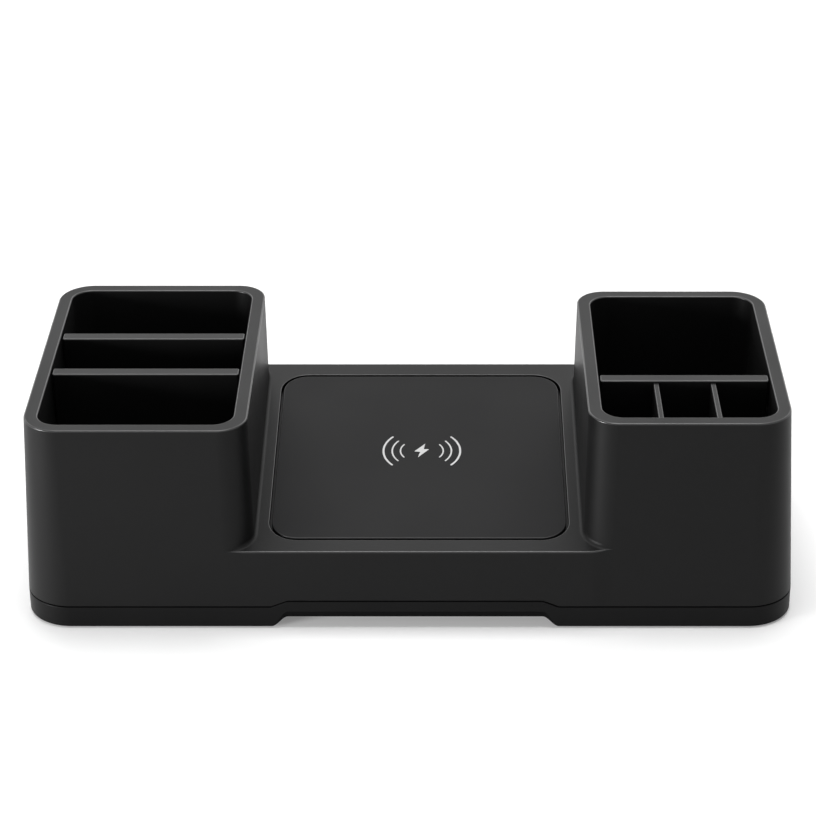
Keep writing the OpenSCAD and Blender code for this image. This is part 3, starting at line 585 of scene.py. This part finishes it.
def add_ribs_and_tray(s):
    low = BIN_FLOOR - 0.5
    for side, y, sides in ((-1, REAR_DIVIDER_Y, (-1, 1)), (-1, FRONT_DIVIDER_Y, (1,)), (1, CROSS_WALL_Y, (-1, 1))):
        x0, x1 = BINS[side]
        for sy in sides:
            c = y + sy * (DIVIDER_T / 2 + SLIDE_GAP + RIB_W / 2)
            block(s, x0 - 1, x0 + RIB_REACH, c - RIB_W / 2, c + RIB_W / 2, low, RIB_TOP, 0.5, 0.6)
            block(s, x1 - RIB_REACH, x1 + 1, c - RIB_W / 2, c + RIB_W / 2, low, RIB_TOP, 0.5, 0.6)
    x0, x1 = BINS[-1]
    block(s, x0 - 1, x1 + 1, -BIN_Y[-1] - 1, TRAY_BACK_Y - SLIDE_GAP, low, TRAY_FLOOR, 1.5, 0.6)


def build_base():
    s = Skin()
    steps = 12
    xs = [RELIEF[0] + RAMP_RUN * i / steps for i in range(steps + 1)]
    xs += [RELIEF[1] - RAMP_RUN + RAMP_RUN * i / steps for i in range(steps + 1)]

    def half(inset, z):
        a, b, r = end_x(z) - inset, face_y(z) - inset, LOW_CORNER_R - inset
        pts = [(-a + r - r * math.cos(t), -b + r - r * math.sin(t)) for t in OUTER_ANGLES]
        pts += [(x, -b) for x in xs]
        pts += [(a - r + r * math.sin(t), -b + r - r * math.cos(t)) for t in OUTER_ANGLES]
        return pts

    def ring(inset, z, heights):
        h = half(inset, z)
        front = [(x, y, heights(x)) for x, y in h]
        return front + [(x, -y, zz) for x, y, zz in reversed(front)]

    def edge_ring(a):
        """The lower edge: rounded at the ends, cut sloping in the middle."""
        inset, rise = BASE_EDGE_R * (1 - math.sin(a)), BASE_EDGE_R * (1 - math.cos(a))
        k = a / (math.pi / 2)
        front = []
        for x, y in half(inset, BASE_LIFT):
            m = ramp_share(x, True)
            up = (1 - m) * rise + m * CUT_H * k
            front.append((x, y + m * (CUT_D * (1 - k) - inset), lower_z(x) + up))
        return front + [(x, -y, z) for x, y, z in reversed(front)]

    low = [edge_ring(a) for a in arc(8)]
    # The lower edge and the sloping cut take the base's second material, a darker, duller copy: painted shade under the
    # base.
    s.edge(low)
    rows = [low[-1]]
    for a in arc(3):
        drop = PARTING_ROUND * (1 - math.sin(a))
        top = lambda x: parting_z(x) - PARTING_GAP / 2 - PARTING_ROUND + PARTING_ROUND * math.sin(a)
        rows.append(ring(PARTING_ROUND * (1 - math.cos(a)), PARTING_END, top))
    # Inner side: rim, inner wall and floor
    half_in = [(x, y) for x, y in half(BASE_WALL, PARTING_END)]

    def inner(heights):
        front = [(x, y, heights(x)) for x, y in half_in]
        return front + [(x, -y, zz) for x, y, zz in reversed(front)]

    rows.append(inner(lambda x: parting_z(x) - PARTING_GAP / 2))
    floor_z = lambda x: (BASE_LIFT + (RELIEF_H - BASE_LIFT) * ramp_share(x, False)) + BASE_FLOOR_T
    rows.append(inner(floor_z))
    s.rows(rows, closed=True)

    for row, holes in ((low[0], True), (rows[-1], False)):
        n = len(row)
        c = len(OUTER_ANGLES)
        front, back = row[: n // 2], row[n // 2 :][::-1]
        cuts = under_holes() if holes else {-1: [], 1: []}
        left = front[: c + 1] + back[: c + 1][::-1]
        right = front[-c - 1 :] + back[-c - 1 :][::-1]
        s.fill(left, cuts[-1])
        s.fill(right, cuts[1])
        for i in range(c, n // 2 - c - 1):
            s.face(front[i], front[i + 1], back[i + 1], back[i])
    for side, holes in under_holes().items():
        for hole in holes:
            wide = max(p[0] for p in hole) - min(p[0] for p in hole) > FOOT_D
            depth = FOOT_T if wide else HEAD_TOP
            deep = [(x, y, depth) for x, y, _ in hole]
            s.strip(hole, deep, closed=True)
            s.fill(deep)
    # Locating lip behind the open parting line
    lo = loop(-CAV_X + LIP_GAP, CAV_X - LIP_GAP, -CAV_Y + LIP_GAP, CAV_Y - LIP_GAP, CAV_R - LIP_GAP, 16)
    li = loop(-CAV_X + 1.6, CAV_X - 1.6, -CAV_Y + 1.6, CAV_Y - 1.6, CAV_R - 1.6, 16)
    foot_z, top_z = RELIEF_H + BASE_FLOOR_T - 0.5, PARTING_END + LIP_H
    rows = [at_height(lo, foot_z), at_height(lo, top_z), at_height(li, top_z), at_height(li, foot_z), at_height(lo, foot_z)]
    s.rows(rows, closed=True)
    return s


def circle(cx, cy, r, z, n=48):
    return [(cx + r * math.cos(2 * math.pi * i / n), cy + r * math.sin(2 * math.pi * i / n), z) for i in range(n)]


def under_holes():
    fx, fy = end_x(BASE_LIFT) - 18, face_y(BASE_LIFT) - 17
    out = {}
    for side in (-1, 1):
        holes = []
        for sy in (-1, 1):
            holes.append(circle(side * fx, sy * fy, FOOT_D / 2 + 0.2, BASE_LIFT))
            holes.append(circle(side * (fx - 22), sy * fy, HEAD_D / 2, BASE_LIFT, 32))
        out[side] = holes
    out[-1].append(circle(RELIEF[0] - 6.7, 0, HEAD_D / 2, BASE_LIFT, 32))
    out[1].append(circle(RELIEF[1] + 6.7, 0, HEAD_D / 2, BASE_LIFT, 32))
    return out


def build_pad():
    s = Skin()
    rows = []
    for inset, h in ((0.3, -PAD_T), (0.0, -PAD_T + 0.3)):
        rows.append([on_deck(u, v, h) for u, v in pad_loop(inset)])
    top = []
    for a in reversed(arc(6)):
        h = -PAD_ROUND * (1 - math.cos(a))
        top.append([on_deck(u, v, h) for u, v in pad_loop(PAD_ROUND * (1 - math.sin(a)))])
    s.rounded_top(rows + top[:1], top)
    return s


def pad_loop(inset):
    w, d = PAD_W / 2 - inset, PAD_D / 2 - inset
    return loop(-w, w, -d, d, PAD_R - inset, 20)


def build_sign():
    """Printed charging sign: three arcs on each side of a bolt."""
    s = Skin()
    cx, cy = 0.62, 1.7
    low, high = -0.05, 0.03
    outlines = [[(1.16, 4.3), (-2.68, -0.34), (-0.54, -0.63), (-1.38, -3.9), (2.53, 0.93), (0.69, 1.02)]]
    for bulge, reach, rise, wide in ((13.58, 10.4, 8.3, 0.7), (10.47, 8.4, 5.8, 0.56), (7.57, 6.3, 3.7, 0.52)):
        d = bulge - reach
        r = (rise * rise + d * d) / (2 * d)
        half = math.asin(rise / r)
        for side in (-1, 1):
            line = []
            for i in range(25):
                a = -half + 2 * half * i / 24
                line.append(((r + wide / 2) * math.cos(a), (r + wide / 2) * math.sin(a)))
            for i in range(1, 8):
                a = half + math.pi * i / 8
                line.append((r * math.cos(half) + wide / 2 * math.cos(a), r * math.sin(half) + wide / 2 * math.sin(a)))
            for i in range(25):
                a = half - 2 * half * i / 24
                line.append(((r - wide / 2) * math.cos(a), (r - wide / 2) * math.sin(a)))
            for i in range(1, 8):
                a = math.pi - half + math.pi * i / 8
                line.append((r * math.cos(half) + wide / 2 * math.cos(a), -r * math.sin(half) + wide / 2 * math.sin(a)))
            outlines.append([(side * (bulge - r + x), y) for x, y in line])
    for line in outlines:
        rows = [[on_deck(cx + x, cy + y, h) for x, y in line] for h in (low, high)]
        s.lathe_like(rows)
    return s


def plate_rows(x0, x1, y0, y1, z0, top, along_x, r_top):
    """Rows of an upright plate whose ends follow the bin's draft."""
    rows = []

    def row(z, inset):
        i = (RIM_H - z) * deg_tan(BIN_DRAFT)
        a0, a1, b0, b1 = x0, x1, y0, y1
        if along_x:
            a0, a1 = a0 + i, a1 - i
        else:
            b0 = b0 + i
        return at_height(loop(a0 + inset, a1 - inset, b0 + inset, b1 - inset, max(0.7 - inset, 0.05), 4), z)

    rows.append(row(z0, 0.7))
    rows.append(row(z0 + 0.7, 0))
    edge = [row(top - r_top * (1 - math.cos(a)), r_top * (1 - math.sin(a))) for a in reversed(arc(6))]
    return rows + edge[:1], edge


def build_divider(side, y):
    s = Skin()
    x0, x1 = BINS[side]
    y0, y1 = y - DIVIDER_T / 2, y + DIVIDER_T / 2
    s.rounded_top(*plate_rows(x0 + END_GAP, x1 - END_GAP, y0, y1, DIVIDER_FOOT, DIVIDER_TOP, True, DIVIDER_ROUND))
    return s


def build_insert():
    s = build_divider(1, CROSS_WALL_Y)
    x0, x1 = BINS[1]
    for i in (1, 2):
        c = x0 + (x1 - x0) * i / 3
        rows, top = plate_rows(
            c - PARTITION_T / 2, c + PARTITION_T / 2, -BIN_Y[1] + END_GAP, CROSS_WALL_Y - DIVIDER_T / 2 + 0.8,
            DIVIDER_FOOT, PARTITION_TOP, False, 0.4,
        )
        s.rounded_top(rows, top)
    return s


# Materials


def new_material(name):
    m = bpy.data.materials.new(name)
    m.use_nodes = True
    m.node_tree.nodes.clear()
    out = m.node_tree.nodes.new("ShaderNodeOutputMaterial")
    bsdf = m.node_tree.nodes.new("ShaderNodeBsdfPrincipled")
    m.node_tree.links.new(bsdf.outputs[0], out.inputs[0])
    return m, m.node_tree.nodes, m.node_tree.links, bsdf


def noise(nodes, links, coord, scale, detail=3.0, rough=0.55):
    n = nodes.new("ShaderNodeTexNoise")
    n.inputs["Scale"].default_value = scale
    n.inputs["Detail"].default_value = detail
    n.inputs["Roughness"].default_value = rough
    links.new(coord, n.inputs["Vector"])
    return n.outputs["Fac"]


def ramp(nodes, links, fac, lo, hi, a=0.3, b=0.7):
    r = nodes.new("ShaderNodeMapRange")
    r.inputs["From Min"].default_value = a
    r.inputs["From Max"].default_value = b
    r.inputs["To Min"].default_value = lo
    r.inputs["To Max"].default_value = hi
    links.new(fac, r.inputs["Value"])
    return r.outputs["Result"]


def mix_color(nodes, links, fac, a, b):
    m = nodes.new("ShaderNodeMix")
    m.data_type = "RGBA"
    m.inputs["A"].default_value = (*a, 1)
    m.inputs["B"].default_value = (*b, 1)
    links.new(fac, m.inputs["Factor"])
    return m.outputs["Result"]


def moulded(name, color, rough=0.5, spec=0.3, grain=3600, depth=0.006, tone=0.12, fine=0.05, coat=0.0):
    """Moulded plastic: fine spark-eroded grain, faint flow tones and slightly uneven gloss."""
    m, nodes, links, bsdf = new_material(name)
    coord = nodes.new("ShaderNodeTexCoord").outputs["Object"]
    broad = noise(nodes, links, coord, 22, 2)
    small = noise(nodes, links, coord, grain, 4, 0.6)
    cells = nodes.new("ShaderNodeTexVoronoi")
    cells.inputs["Scale"].default_value = grain * 0.55
    links.new(coord, cells.inputs["Vector"])
    lo = tuple(c * (1 - tone) for c in color)
    hi = tuple(c * (1 + tone) for c in color)
    both = nodes.new("ShaderNodeMath")
    both.operation = "MULTIPLY_ADD"
    both.inputs[1].default_value = 0.35
    links.new(small, both.inputs[0])
    links.new(broad, both.inputs[2])
    shade = ramp(nodes, links, both.outputs[0], 0, 1, 0.4, 0.95)
    links.new(mix_color(nodes, links, shade, lo, hi), bsdf.inputs["Base Color"])
    links.new(ramp(nodes, links, both.outputs[0], rough - fine, rough + fine, 0.4, 0.95), bsdf.inputs["Roughness"])
    bsdf.inputs["Specular IOR Level"].default_value = spec
    bsdf.inputs["Coat Weight"].default_value = coat
    height = nodes.new("ShaderNodeMath")
    height.operation = "ADD"
    links.new(small, height.inputs[0])
    links.new(cells.outputs["Distance"], height.inputs[1])
    bump = nodes.new("ShaderNodeBump")
    bump.inputs["Strength"].default_value = 0.35
    bump.inputs["Distance"].default_value = depth / 1000
    links.new(height.outputs[0], bump.inputs["Height"])
    links.new(bump.outputs[0], bsdf.inputs["Normal"])
    return m


def metal(name, color, rough=0.3, scale=900):
    m, nodes, links, bsdf = new_material(name)
    coord = nodes.new("ShaderNodeTexCoord").outputs["Object"]
    grain = noise(nodes, links, coord, scale, 4, 0.6)
    dark = tuple(c * 0.85 for c in color)
    links.new(mix_color(nodes, links, ramp(nodes, links, grain, 0, 1), dark, color), bsdf.inputs["Base Color"])
    links.new(ramp(nodes, links, grain, rough * 0.8, rough * 1.25), bsdf.inputs["Roughness"])
    bsdf.inputs["Metallic"].default_value = 1.0
    bump = nodes.new("ShaderNodeBump")
    bump.inputs["Strength"].default_value = 0.15
    bump.inputs["Distance"].default_value = 0.00001
    links.new(grain, bump.inputs["Height"])
    links.new(bump.outputs[0], bsdf.inputs["Normal"])
    return m


def printed(name, color):
    """Pad-printed ink: even, faintly mottled, a little worn in the grain."""
    m, nodes, links, bsdf = new_material(name)
    coord = nodes.new("ShaderNodeTexCoord").outputs["Object"]
    grain = noise(nodes, links, coord, 5200, 3, 0.6)
    worn = tuple(c * 0.82 for c in color)
    links.new(mix_color(nodes, links, ramp(nodes, links, grain, 0, 1, 0.35, 0.6), worn, color), bsdf.inputs["Base Color"])
    links.new(ramp(nodes, links, grain, 0.45, 0.6), bsdf.inputs["Roughness"])
    bsdf.inputs["Specular IOR Level"].default_value = 0.3
    return m


black = moulded("black_plastic", (0.0045, 0.0045, 0.0046), rough=0.46, spec=0.14)
base_black = moulded("base_plastic", (0.0035, 0.0035, 0.0036), rough=0.45, spec=0.1)
divider_black = moulded("divider_plastic", (0.005, 0.005, 0.0051), rough=0.42, spec=0.15)
pad_black = moulded("pad_plastic", (0.007, 0.007, 0.0073), rough=0.55, spec=0.09, grain=5200, depth=0.004)
# Darker, duller copy of the base plastic on its lower edge and cut: painted shade under the base.
base_painted_shade = moulded("base_plastic_painted_shade", (0.003, 0.003, 0.0031), rough=0.6, spec=0.03)
# Lighter, glossier copies of the plastics on the rounded edges: painted edge highlights on top of the lamps' own.
black_painted_highlight = moulded("black_plastic_painted_highlight", (0.006, 0.006, 0.0062), rough=0.32, spec=0.5, depth=0.002)
# Darker, duller copy of the plastic on the recess wall: painted shade in the pad's groove.
groove_painted_shade = moulded("groove_plastic_painted_shade", (0.002, 0.002, 0.002), rough=0.7, spec=0.02)
divider_painted_highlight = moulded("divider_plastic_painted_highlight", (0.006, 0.006, 0.0062), rough=0.32, spec=0.5, depth=0.002)
pad_painted_highlight = moulded("pad_plastic_painted_highlight", (0.008, 0.008, 0.0083), rough=0.4, spec=0.3, depth=0.002)
ink = printed("sign_ink", (0.62, 0.62, 0.62))

housing_skin = build_housing()
add_ribs_and_tray(housing_skin)
housing = make("housing_shell", housing_skin, "organizer", (black, black_painted_highlight, groove_painted_shade), ["housing"])
crease(housing)
base = make("base_shell", build_base(), "organizer", (base_black, base_painted_shade), ["base_cover"])
crease(base)
pad = make("pad_panel", build_pad(), "organizer", (pad_black, pad_painted_highlight), ["pad_cover"])
crease(pad)
sign = make("charging_sign", build_sign(), "organizer", (ink,))
crease(sign)
for node, side, y in (("left_rear_divider", -1, REAR_DIVIDER_Y), ("left_front_divider", -1, FRONT_DIVIDER_Y)):
    plate = make(node + "_plate", build_divider(side, y), node, (divider_black, divider_painted_highlight), [node])
    crease(plate)
insert = make(
    "right_pocket_comb", build_insert(), "right_pocket_insert",
    (divider_black, divider_painted_highlight), ["right_pocket_insert"],
)
crease(insert)

# Finishes of the carried-over solids
rubber = moulded("foot_rubber", (0.012, 0.012, 0.012), rough=0.75, spec=0.25, grain=1800, depth=0.02)
FINISH = {
    "pad_adhesive": moulded("adhesive_tape", (0.05, 0.05, 0.055), rough=0.85, grain=1500, depth=0.03),
    "coil_carrier": moulded("carrier_plastic", (0.03, 0.03, 0.033), rough=0.5),
    "ferrite_disc": moulded("ferrite", (0.05, 0.05, 0.052), rough=0.55, grain=2200),
    "charging_coil": metal("enamelled_copper", (0.62, 0.3, 0.14), rough=0.32),
    "coil_leads": moulded("lead_insulation", (0.5, 0.05, 0.03), rough=0.4, spec=0.5),
    "charging_board": moulded("solder_mask", (0.01, 0.12, 0.04), rough=0.3, spec=0.5, grain=700),
    "controller_chip": moulded("chip_package", (0.012, 0.012, 0.013), rough=0.6),
    "bridge_transistors": moulded("transistor_package", (0.012, 0.012, 0.013), rough=0.6),
    "resonant_capacitors": moulded("capacitor_ceramic", (0.36, 0.25, 0.13), rough=0.45),
    "power_inductor": moulded("inductor_core", (0.04, 0.04, 0.043), rough=0.6, grain=1600),
    "input_capacitors": metal("capacitor_can", (0.72, 0.73, 0.75), rough=0.35),
    "usb_c_shell": metal("inlet_steel", (0.62, 0.62, 0.64), rough=0.26),
    "usb_c_tongue": moulded("inlet_plastic", (0.01, 0.01, 0.011), rough=0.35, spec=0.5),
    "base_screws": metal("screw_steel", (0.55, 0.55, 0.56), rough=0.35),
    "carrier_screws": metal("carrier_screw_steel", (0.55, 0.55, 0.56), rough=0.35),
    "board_screws": metal("board_screw_steel", (0.55, 0.55, 0.56), rough=0.35),
}
for place in ("front_left", "front_right", "back_left", "back_right"):
    FINISH["foot_" + place] = rubber
for node, material in FINISH.items():
    mesh = bpy.data.objects[node].data
    if not mesh.materials:
        mesh.materials.append(material)
    for i in range(len(mesh.materials)):
        mesh.materials[i] = material

# Floor and light

FLOOR_NEAR, FLOOR_FAR, FLOOR_GLOW = 0.35, 0.85, 0.2


def background_rays(nodes, links):
    """1 for the rays that show the background: those of the camera, of reflections and through glass."""
    path = nodes.new("ShaderNodeLightPath")
    value = path.outputs["Is Camera Ray"]
    for name in ("Is Glossy Ray", "Is Transmission Ray"):
        most = nodes.new("ShaderNodeMath")
        most.operation = "MAXIMUM"
        links.new(value, most.inputs[0])
        links.new(path.outputs[name], most.inputs[1])
        value = most.outputs[0]
    return value


def stage_material():
    m = bpy.data.materials.new("studio_floor")
    m.use_nodes = True
    nodes, links = m.node_tree.nodes, m.node_tree.links
    nodes.clear()
    out = nodes.new("ShaderNodeOutputMaterial")
    matte = nodes.new("ShaderNodeBsdfDiffuse")
    matte.inputs["Color"].default_value = (0.8, 0.8, 0.8, 1)
    glow = nodes.new("ShaderNodeEmission")
    glow.inputs["Color"].default_value = (1, 1, 1, 1)
    # The glow grows away from the object, so that the far floor is as white as the world
    away = nodes.new("ShaderNodeVectorMath")
    away.operation = "LENGTH"
    links.new(nodes.new("ShaderNodeTexCoord").outputs["Object"], away.inputs[0])
    glow_share = nodes.new("ShaderNodeMapRange")
    glow_share.inputs["From Min"].default_value = FLOOR_NEAR
    glow_share.inputs["From Max"].default_value = FLOOR_FAR
    glow_share.inputs["To Min"].default_value = FLOOR_GLOW
    glow_share.inputs["To Max"].default_value = 1.0
    links.new(away.outputs["Value"], glow_share.inputs["Value"])
    seen = nodes.new("ShaderNodeMath")
    seen.operation = "MULTIPLY"
    links.new(glow_share.outputs[0], seen.inputs[1])
    links.new(background_rays(nodes, links), seen.inputs[0])
    links.new(seen.outputs[0], glow.inputs["Strength"])
    add = nodes.new("ShaderNodeAddShader")
    links.new(matte.outputs[0], add.inputs[0])
    links.new(glow.outputs[0], add.inputs[1])
    links.new(add.outputs[0], out.inputs[0])
    return m


floor_mesh = bpy.data.meshes.new("studio_floor")
floor_mesh.from_pydata([(-6, -6, 0), (6, -6, 0), (6, 6, 0), (-6, 6, 0)], [], [(0, 1, 2, 3)])
floor = bpy.data.objects.new("studio_floor", floor_mesh)
bpy.context.scene.collection.objects.link(floor)
floor_mesh.materials.append(stage_material())

world = bpy.data.worlds.new("studio")
bpy.context.scene.world = world
world.use_nodes = True
wn, wl = world.node_tree.nodes, world.node_tree.links
wn.clear()
w_out = wn.new("ShaderNodeOutputWorld")
w_bg = wn.new("ShaderNodeBackground")
w_strength = wn.new("ShaderNodeMapRange")
w_strength.inputs["To Min"].default_value = 0.22
w_strength.inputs["To Max"].default_value = 1.0
wl.new(background_rays(wn, wl), w_strength.inputs["Value"])
wl.new(w_strength.outputs[0], w_bg.inputs["Strength"])
w_bg.inputs["Color"].default_value = (1, 1, 1, 1)
wl.new(w_bg.outputs[0], w_out.inputs[0])


def softbox(name, place, aim, size, power):
    light = bpy.data.lights.new(name, "AREA")
    light.shape = "RECTANGLE"
    light.size, light.size_y = size
    light.energy = power
    lamp = bpy.data.objects.new(name, light)
    bpy.context.scene.collection.objects.link(lamp)
    lamp.location = place
    lamp.rotation_euler = (Vector(aim) - Vector(place)).to_track_quat("-Z", "Y").to_euler()
    return lamp


softbox("top_light", (0.0, 0.05, 2.4), (0, 0, 0.03), (1.1, 1.0), 44)
softbox("back_light", (0.0, 1.25, 1.12), (0, 0, 0.03), (2.2, 1.0), 13.5)
softbox("left_light", (-0.86, -0.5, 0.125), (-0.05, -0.03, 0.05), (0.3, 0.22), 12)

camera = bpy.data.cameras.new("camera")
camera.sensor_width = 36
camera.lens = 2550 / 816 * 36
camera.shift_x = -38.5 / 816
camera.clip_start, camera.clip_end = 0.05, 30
view = bpy.data.objects.new("camera", camera)
view.location = (0.0126, -0.7885, 0.4749)
view.rotation_euler = (math.radians(90 - 28), 0, 0)
bpy.context.scene.collection.objects.link(view)
bpy.context.scene.camera = view
bpy.context.scene.view_settings.view_transform = "Standard"
